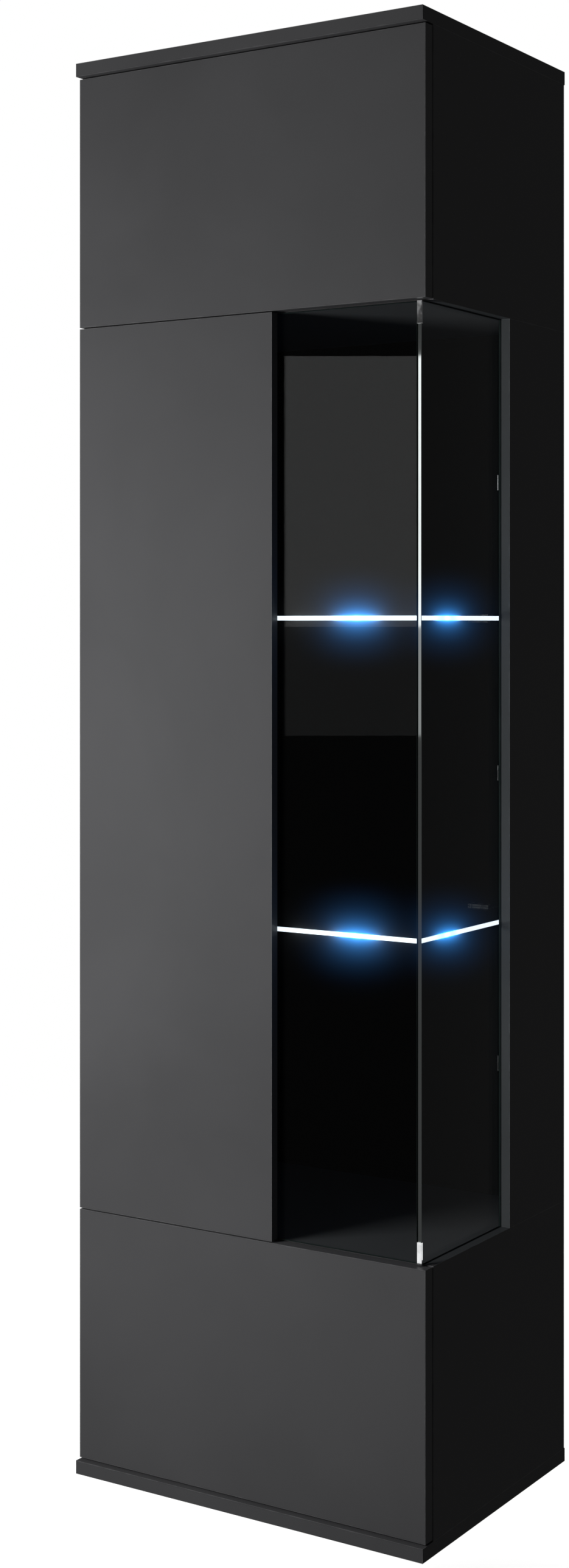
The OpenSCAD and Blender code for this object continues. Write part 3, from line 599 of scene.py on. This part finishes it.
galvanised = galvanised_material()
paint("wall_rail", galvanised)
paint("hanger_hooks", galvanised)
paint("hanger_housings", white_plastic)
paint("hanger_screws", zinc)
ease_edges("wall_rail", 0.4)
ease_edges("hanger_hooks", 0.3)
ease_edges("hanger_housings", 0.8, segments=3)


# ---- Hinges
# Concealed cup hinges in nickel-plated steel, two on each box door and three on the display door. The
# cup sits in the door, the arm on a plate screwed to the side board, and two links join them.
hinge_steel = plated_material("hinge_steel", (0.68, 0.67, 0.65, 1), 0.26, streak=(0.08, 1, 1))
for node in ("hinge_plates", "hinge_arms", "upper_hinge_cups", "display_hinge_cups", "lower_hinge_cups"):
    paint(node, hinge_steel)
    ease_edges(node, 0.2)
link_steel = plated_material("link_steel", (0.55, 0.55, 0.55, 1), 0.3)
for door in ("upper", "display", "lower"):
    for link in ("inner", "outer"):
        paint(f"{door}_{link}_links", link_steel)
        ease_edges(f"{door}_{link}_links", 0.2)
paint("hinge_screws", zinc)


# ---- Push latches and bumpers
# A dark plastic housing behind each door holds a sprung plunger, which meets a small steel plate stuck
# on the door. Clear silicone dots quiet the closing doors.
paint("latch_housings", dark_plastic)
ease_edges("latch_housings", 0.5)
for door in ("upper", "display", "lower"):
    paint(f"{door}_plunger", white_plastic)
    ease_edges(f"{door}_plunger", 0.5)
    paint(f"{door}_strike_plate", bright_steel)
paint("door_bumpers", moulded_material("silicone_dot", (0.6, 0.62, 0.62, 1), 0.3))


# ---- Floor and backdrop
# A plain pale floor 0.25 m below the hung cabinet. Seen from beneath it is clear, so that the
# cabinet's underside can be looked at too.
def floor_material():
    material, tree, surface = start_material("studio_floor")
    place = add(tree, "ShaderNodeTexCoord").outputs["Object"]
    cloud = add(tree, "ShaderNodeTexNoise", {"Vector": place, "Scale": 0.8, "Detail": 3.0})
    tree.links.new(blend_colours(tree, cloud.outputs[0], (0.86, 0.86, 0.86, 1), (0.9, 0.9, 0.9, 1)),
                   surface.inputs["Base Color"])
    surface.inputs["Roughness"].default_value = 0.9
    surface.inputs["Specular IOR Level"].default_value = 0.0
    away = add(tree, "ShaderNodeVectorMath", {0: place, 1: (1, 1, 0)}, operation="MULTIPLY")
    distance = add(tree, "ShaderNodeVectorMath", {0: away.outputs[0]}, operation="LENGTH")
    white = add(tree, "ShaderNodeEmission", {"Color": (1, 1, 1, 1), "Strength": 1.0})
    far = fade(tree, distance.outputs["Value"], 0.9, 3.2)
    faded = add(tree, "ShaderNodeMixShader", {0: far, 1: surface.outputs[0], 2: white.outputs[0]})
    clear = add(tree, "ShaderNodeBsdfTransparent")
    behind = add(tree, "ShaderNodeNewGeometry").outputs["Backfacing"]
    unseen = math_node(tree, "SUBTRACT", 1.0, add(tree, "ShaderNodeLightPath").outputs["Is Camera Ray"])
    hidden = math_node(tree, "MAXIMUM", behind, unseen)
    choose = add(tree, "ShaderNodeMixShader", {0: hidden, 1: faded.outputs[0], 2: clear.outputs[0]})
    output = next(node for node in tree.nodes if node.type == "OUTPUT_MATERIAL")
    tree.links.new(choose.outputs[0], output.inputs[0])
    return material


FLOOR_DROP = 0.25
FLOOR_REACH = 30.0
floor_mesh = bpy.data.meshes.new("studio_floor")
floor_z = cad_box[0].z - FLOOR_DROP
floor_mesh.from_pydata(
    [(-FLOOR_REACH, -FLOOR_REACH, floor_z), (FLOOR_REACH, -FLOOR_REACH, floor_z),
     (FLOOR_REACH, FLOOR_REACH, floor_z), (-FLOOR_REACH, FLOOR_REACH, floor_z)], [], [(0, 1, 2, 3)],
)
floor_mesh.materials.append(floor_material())
floor = bpy.data.objects.new("studio_floor", floor_mesh)
bpy.context.scene.collection.objects.link(floor)


# ---- Light
# White all round to the eye, but dim as a lamp, with soft panels in front to the left. Two of them
# show as the pale reflection in the door's pane.
world = bpy.data.worlds.new("studio")
bpy.context.scene.world = world
world.use_nodes = True
world.node_tree.nodes.clear()
sky = world.node_tree
dim = add(sky, "ShaderNodeBackground", {"Color": (1, 1, 1, 1), "Strength": 0.052})
white = add(sky, "ShaderNodeBackground", {"Color": (1, 1, 1, 1), "Strength": 1.0})
seen = add(sky, "ShaderNodeLightPath").outputs["Is Camera Ray"]
both = add(sky, "ShaderNodeMixShader", {0: seen, 1: dim.outputs[0], 2: white.outputs[0]})
sky_out = sky.nodes.new("ShaderNodeOutputWorld")
sky.links.new(both.outputs[0], sky_out.inputs[0])


def soft_panel(name, place, target, width, height, power, shine):
    """A rectangular soft light, hidden from the camera, that may be left out of reflections."""
    data = bpy.data.lights.new(name, "AREA")
    data.shape = "RECTANGLE"
    data.size = width
    data.size_y = height
    data.energy = power
    lamp = bpy.data.objects.new(name, data)
    bpy.context.scene.collection.objects.link(lamp)
    lamp.location = place
    lamp.rotation_mode = "QUATERNION"
    lamp.rotation_quaternion = (Vector(target) - Vector(place)).to_track_quat("-Z", "Y")
    lamp.visible_camera = False
    lamp.visible_glossy = shine
    lamp.visible_transmission = shine
    return lamp


soft_panel("pane_panel", (-0.942, -2.776, -0.269), (0.13, -1.1, -0.269), 1.0, 0.6075, 2.1, True)
soft_panel("pane_panel_low", (-0.942, -2.776, -0.695), (0.13, -1.1, -0.695), 1.0, 0.2446, 0.18, True)
soft_panel("front_fill", (-0.66, -1.43, -0.74), (-0.08, -0.33, -0.74), 0.6, 0.6, 20.5, False)
soft_panel("back_fill", (-1.8, 3.0, 0.4), (0.0, 0.0, -0.7), 2.0, 2.0, 60.0, False)
floor_lamp = soft_panel("floor_fill", (0.0, 0.5, 3.5), (0.0, 0.5, -1.8), 6.0, 6.0, 420.0, False)
floor_only = bpy.data.collections.new("floor_only")
floor_only.objects.link(floor)
floor_lamp.light_linking.receiver_collection = floor_only

# Bare metal needs something to mirror: two panels that light the metal fittings alone.
METAL_NODES = (
    "side_pane_clips", "corner_caps", "shelf_pins", "light_clips", "side_pane_clip_screws",
    "pane_retainer_screws", "hinge_plates", "hinge_arms", "hinge_screws", "wall_rail", "hanger_hooks",
    "hanger_screws", "cams", "cam_bolts",
    *(door + part for door in ("upper_", "display_", "lower_")
      for part in ("hinge_cups", "inner_links", "outer_links", "strike_plate")),
)
metal_only = bpy.data.collections.new("metal_only")
for name in METAL_NODES:
    metal_only.objects.link(nodes[name])
for name, place in (("metal_front", (-0.95, -2.6, -1.175)), ("metal_side", (1.4, 2.2, -1.175))):
    metal_lamp = soft_panel(name, place, (0.2, -0.14, -1.175), 1.5, 2.25, 12.0, True)
    metal_lamp.light_linking.receiver_collection = metal_only

GLOW_COLOUR = (0.1, 0.35, 1.0)
GLOW_POWER = 0.02
for place in range(2):
    left_lamp, rear_lamp = lamps[2 * place], lamps[2 * place + 1]
    front_spot = (rear_lamp.x, FRONT_EDGE - 2 * MM, rear_lamp.z)
    right_spot = (RIGHT_EDGE + 2 * MM, left_lamp.y, left_lamp.z)
    for spot in (front_spot, right_spot):
        glow_data = bpy.data.lights.new("shelf_glow", "POINT")
        glow_data.color = GLOW_COLOUR
        glow_data.energy = GLOW_POWER
        glow_data.shadow_soft_size = 4 * MM
        glow = bpy.data.objects.new("shelf_glow", glow_data)
        bpy.context.scene.collection.objects.link(glow)
        glow.location = spot
        glow.visible_camera = False
        glow.visible_glossy = False
        glow.visible_transmission = False


# ---- Camera
# Level, to the right of the cabinet's front at a bit over half its height, with a normal lens and the
# lens raised a little so that the whole cabinet is in the picture.
CAMERA_PLACE = Vector((1.342, -2.334, -0.565))
CAMERA_TURN = math.radians(32.745)
LENS_RATIO = 1.42107
camera_data = bpy.data.cameras.new("camera")
camera_data.sensor_width = 36.0
camera_data.lens = LENS_RATIO * camera_data.sensor_width
camera_data.shift_y = -0.1025
camera = bpy.data.objects.new("camera", camera_data)
bpy.context.scene.collection.objects.link(camera)
camera.location = CAMERA_PLACE
camera.rotation_euler = (math.radians(90), 0, CAMERA_TURN)
bpy.context.scene.camera = camera
bpy.context.scene.view_settings.view_transform = "Standard"

# A lens spreads a little of a very bright point. Only the shelf's lit spots are above the threshold.
BLOOM_FROM = 1.6
bpy.context.scene.use_nodes = True
picture = bpy.context.scene.node_tree
picture.nodes.clear()
rendered = picture.nodes.new("CompositorNodeRLayers")
bloom = picture.nodes.new("CompositorNodeGlare")
bloom.glare_type = "BLOOM"
bloom.inputs["Threshold"].default_value = BLOOM_FROM
bloom.inputs["Strength"].default_value = 1.0
bloom.inputs["Size"].default_value = 0.12
shown_picture = picture.nodes.new("CompositorNodeComposite")
picture.links.new(rendered.outputs["Image"], bloom.inputs["Image"])
picture.links.new(bloom.outputs["Image"], shown_picture.inputs["Image"])
